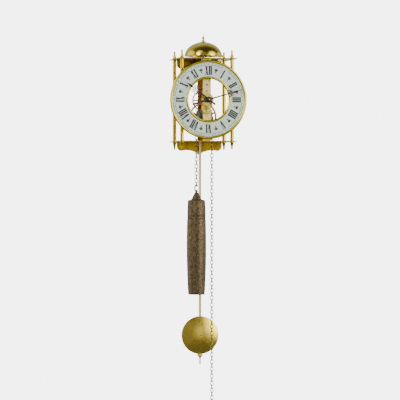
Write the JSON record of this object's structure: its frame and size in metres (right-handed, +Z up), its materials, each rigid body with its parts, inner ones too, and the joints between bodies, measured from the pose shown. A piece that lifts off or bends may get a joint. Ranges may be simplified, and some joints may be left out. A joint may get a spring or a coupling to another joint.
{
  "type": "skeleton wall clock",
  "caption": "Skeleton wall clock with a pierced enamel dial between columns, bell with hammer, swinging pendulum, chain drive and cast weight.",
  "frame": {"origin": "middle of the hanging hole, on the rear face of the upper back plate", "axes": "+X to the right seen from the front, +Y to the wall, +Z up"},
  "size_m": [0.14, 0.0855, 0.6824],
  "materials": {
    "column_brass": "polished yellow brass",
    "plate_brass": "polished plate brass, darker gold",
    "bell_brass": "polished olive gold",
    "rim_brass": "bright gilt",
    "dial_back": "plain brass",
    "enamel": "pale enamel with black numerals",
    "strip_brass": "pale satin brass",
    "rear_strip_brass": "brown brass",
    "wheel_brass": "orange brass wheels",
    "steel": "polished steel arbors and pivots",
    "screw_steel": "steel screws",
    "sprocket_steel": "blue-grey steel",
    "hand_black": "black painted steel",
    "chain_brass": "brass-plated chain wire",
    "rod_brass": "pale brass",
    "bob_brass": "spun brass",
    "weight_iron": "antique bronze finish",
    "spring_steel": "blued spring steel"
  },
  "bodies": {
    "frame": {"top_plate": "plate_brass", "bottom_plate": "plate_brass", "column_front_left": "column_brass", "column_front_right": "column_brass", "column_rear_left": "column_brass", "column_rear_right": "column_brass", "top_finials": "column_brass", "drop_finials": "column_brass", "upper_back_plate": "plate_brass", "lower_back_plate": "plate_brass", "back_plate_screws": "screw_steel", "dial_plate": "dial_back", "dial_enamel_ring": "enamel", "dial_rims": "rim_brass", "dial_feet": "rim_brass", "bell": "bell_brass", "bell_stud": "steel", "bell_washer_and_nut": "screw_steel", "bell_finial": "bell_brass", "movement_front_plate": "strip_brass", "movement_rear_plate": "rear_strip_brass", "movement_pillars": "rear_strip_brass", "movement_screws": "screw_steel", "front_cock": "strip_brass", "minute_stud": "steel", "pendulum_cock": "rear_strip_brass", "suspension_post": "rear_strip_brass", "suspension_spring": "spring_steel", "chain_weight_run": "chain_brass", "chain_over_wheel": "chain_brass", "chain_free_run": "chain_brass"},
    "minute_hand_body": {"centre_wheel": "wheel_brass", "centre_arbor": "steel", "cannon_pinion": "steel", "minute_hand": "hand_black", "hand_nut": "hand_black"},
    "hour_hand_body": {"hour_wheel": "strip_brass", "hour_hand": "hand_black"},
    "minute_wheel_body": {"minute_wheel": "strip_brass"},
    "great_wheel_body": {"great_wheel": "wheel_brass", "great_arbor": "steel", "arbor_sleeve": "steel", "click_and_screw": "screw_steel"},
    "third_wheel_body": {"third_wheel": "wheel_brass", "third_arbor": "steel"},
    "escape_wheel_body": {"escape_wheel": "wheel_brass", "escape_arbor": "steel"},
    "pendulum_body": {"pendulum_clamp": "rod_brass", "pendulum_rod": "rod_brass", "pendulum_bob": "bob_brass", "rating_nut": "rod_brass"},
    "anchor_body": {"anchor": "steel", "anchor_arbor": "steel", "crutch": "steel"},
    "weight_body_moving": {"weight_body": "weight_iron", "weight_hook": "chain_brass"},
    "sprocket_body": {"chain_sprocket": "sprocket_steel"},
    "chain_end_body": {"chain_end_ring": "chain_brass"},
    "hammer_body": {"hammer_lever": "strip_brass", "hammer_head": "strip_brass"}
  },
  "joints": [
    {"name": "minute_hand_turn", "type": "hinge", "parent": "frame", "child": "minute_hand_body", "pos_m": [0, -0.039, -0.061], "axis": [0, 1, 0], "continuous": true},
    {"name": "hour_hand_turn", "type": "hinge", "parent": "frame", "child": "hour_hand_body", "pos_m": [0, -0.039, -0.061], "axis": [0, 1, 0], "continuous": true},
    {"name": "minute_wheel_turn", "type": "hinge", "parent": "frame", "child": "minute_wheel_body", "pos_m": [0, -0.039, -0.0752], "axis": [0, 1, 0], "continuous": true},
    {"name": "great_wheel_turn", "type": "hinge", "parent": "frame", "child": "great_wheel_body", "pos_m": [0, -0.039, -0.0898], "axis": [0, 1, 0], "continuous": true},
    {"name": "third_wheel_turn", "type": "hinge", "parent": "frame", "child": "third_wheel_body", "pos_m": [0, -0.039, -0.04], "axis": [0, 1, 0], "continuous": true},
    {"name": "escape_wheel_turn", "type": "hinge", "parent": "frame", "child": "escape_wheel_body", "pos_m": [0, -0.039, -0.0271], "axis": [0, 1, 0], "continuous": true},
    {"name": "pendulum_swing", "type": "hinge", "parent": "frame", "child": "pendulum_body", "pos_m": [0, -0.0065, -0.015], "axis": [0, 1, 0], "range_deg": [-4.5, 4.5]},
    {"name": "anchor_rock", "type": "hinge", "parent": "frame", "child": "anchor_body", "pos_m": [0, -0.034, -0.015], "axis": [0, 1, 0], "range_deg": [-4.5, 4.5]},
    {"name": "weight_drop", "type": "slide", "parent": "frame", "child": "weight_body_moving", "axis": [0, 0, 1], "range_m": [-0.37, 0.05], "deforming": ["chain_weight_run", "chain_free_run"]},
    {"name": "sprocket_turn", "type": "hinge", "parent": "frame", "child": "sprocket_body", "pos_m": [0, -0.037, -0.0898], "axis": [0, 1, 0], "range_deg": [-1520, 220]},
    {"name": "chain_end_rise", "type": "slide", "parent": "frame", "child": "chain_end_body", "axis": [0, 0, 1], "range_m": [-0.06, 0.38]},
    {"name": "hammer_swing", "type": "hinge", "parent": "frame", "child": "hammer_body", "pos_m": [0.0225, -0.054, -0.007], "axis": [0, 1, 0], "range_deg": [-5, 8]}
  ],
  "couplings": [
    {"joint": "hour_hand_turn", "follows": "minute_hand_turn", "ratio": 0.083333},
    {"joint": "minute_wheel_turn", "follows": "minute_hand_turn", "ratio": -0.33333},
    {"joint": "great_wheel_turn", "follows": "minute_hand_turn", "ratio": -0.14286},
    {"joint": "third_wheel_turn", "follows": "minute_hand_turn", "ratio": -9},
    {"joint": "escape_wheel_turn", "follows": "minute_hand_turn", "ratio": 87.75},
    {"joint": "anchor_rock", "follows": "pendulum_swing", "ratio": 1},
    {"joint": "sprocket_turn", "follows": "weight_drop", "rad_per_m": 70.677},
    {"joint": "chain_end_rise", "follows": "weight_drop", "ratio": -1}
  ]
}
